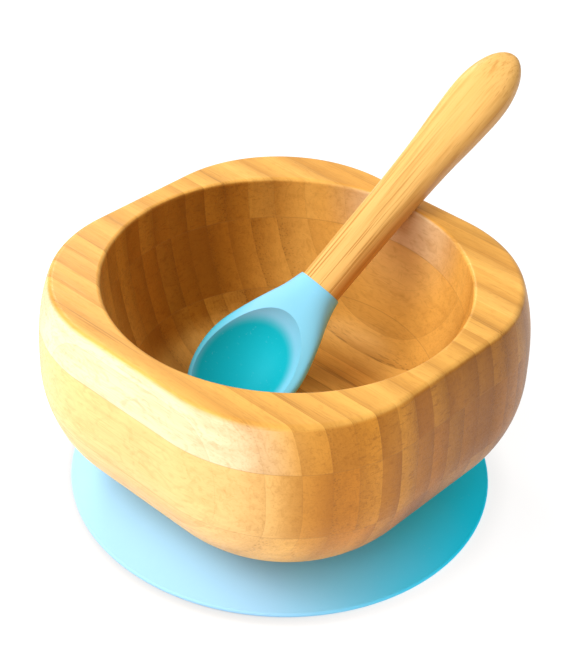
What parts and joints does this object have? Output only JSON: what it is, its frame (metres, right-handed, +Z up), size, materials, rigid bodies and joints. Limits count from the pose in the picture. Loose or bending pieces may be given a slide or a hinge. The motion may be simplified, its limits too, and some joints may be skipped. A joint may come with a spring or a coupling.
{
  "type": "suction bowl",
  "caption": "Laminated bamboo weaning bowl with rounded-square outside and round hollow, on a silicone suction base, with a bamboo and silicone spoon leaning in it.",
  "frame": {"origin": "on the table plane, on the vertical axis of bowl and base", "axes": "+Z up; X and Y through the bowl's four flat sides, its strips running along X; the spoon leans out over the +Y side"},
  "size_m": [0.1154, 0.1411, 0.1007],
  "materials": {
    "bamboo_top_board": "sanded and oiled, satin",
    "bamboo_middle_board": "sanded and oiled, satin",
    "bamboo_bottom_board": "sanded and oiled, satin",
    "handle_bamboo": "sanded and oiled, satin",
    "base_silicone": "matte moulded silicone",
    "spoon_silicone": "matte moulded silicone"
  },
  "bodies": {
    "base": {"suction_base": "base_silicone"},
    "bowl": {"top_strip_01": "bamboo_top_board", "top_strip_02": "bamboo_top_board", "top_strip_03": "bamboo_top_board", "top_strip_04": "bamboo_top_board", "top_strip_05": "bamboo_top_board", "top_strip_06": "bamboo_top_board", "top_strip_07": "bamboo_top_board", "top_strip_08": "bamboo_top_board", "top_strip_09": "bamboo_top_board", "top_strip_10": "bamboo_top_board", "top_strip_11": "bamboo_top_board", "top_strip_12": "bamboo_top_board", "top_strip_13": "bamboo_top_board", "top_strip_14": "bamboo_top_board", "top_strip_15": "bamboo_top_board", "top_strip_16": "bamboo_top_board", "top_strip_17": "bamboo_top_board", "top_strip_18": "bamboo_top_board", "top_strip_19": "bamboo_top_board", "top_strip_20": "bamboo_top_board", "top_strip_21": "bamboo_top_board", "middle_strip_01": "bamboo_middle_board", "middle_strip_02": "bamboo_middle_board", "middle_strip_03": "bamboo_middle_board", "middle_strip_04": "bamboo_middle_board", "middle_strip_05": "bamboo_middle_board", "middle_strip_06": "bamboo_middle_board", "middle_strip_07": "bamboo_middle_board", "middle_strip_08": "bamboo_middle_board", "middle_strip_09": "bamboo_middle_board", "middle_strip_10": "bamboo_middle_board", "middle_strip_11": "bamboo_middle_board", "middle_strip_12": "bamboo_middle_board", "middle_strip_13": "bamboo_middle_board", "middle_strip_14": "bamboo_middle_board", "middle_strip_15": "bamboo_middle_board", "middle_strip_16": "bamboo_middle_board", "middle_strip_17": "bamboo_middle_board", "middle_strip_18": "bamboo_middle_board", "middle_strip_19": "bamboo_middle_board", "middle_strip_20": "bamboo_middle_board", "middle_strip_21": "bamboo_middle_board", "bottom_strip_middle": "bamboo_bottom_board", "bottom_strips_01": "bamboo_bottom_board", "bottom_strips_02": "bamboo_bottom_board", "bottom_strips_03": "bamboo_bottom_board", "bottom_strips_04": "bamboo_bottom_board", "bottom_strips_05": "bamboo_bottom_board", "bottom_strips_06": "bamboo_bottom_board", "bottom_strips_07": "bamboo_bottom_board", "bottom_strips_08": "bamboo_bottom_board", "bottom_strips_09": "bamboo_bottom_board", "bottom_strips_10": "bamboo_bottom_board"},
    "spoon": {"spoon_handle": "handle_bamboo", "spoon_head": "spoon_silicone"}
  },
  "joints": [
    {"name": "bowl_lift", "type": "slide", "parent": "base", "child": "bowl", "axis": [0, 0, 1], "range_m": [0, 0.022]},
    {"name": "spoon_lift", "type": "slide", "parent": "bowl", "child": "spoon", "axis": [0, 0, 1], "range_m": [0, 0.085]}
  ]
}
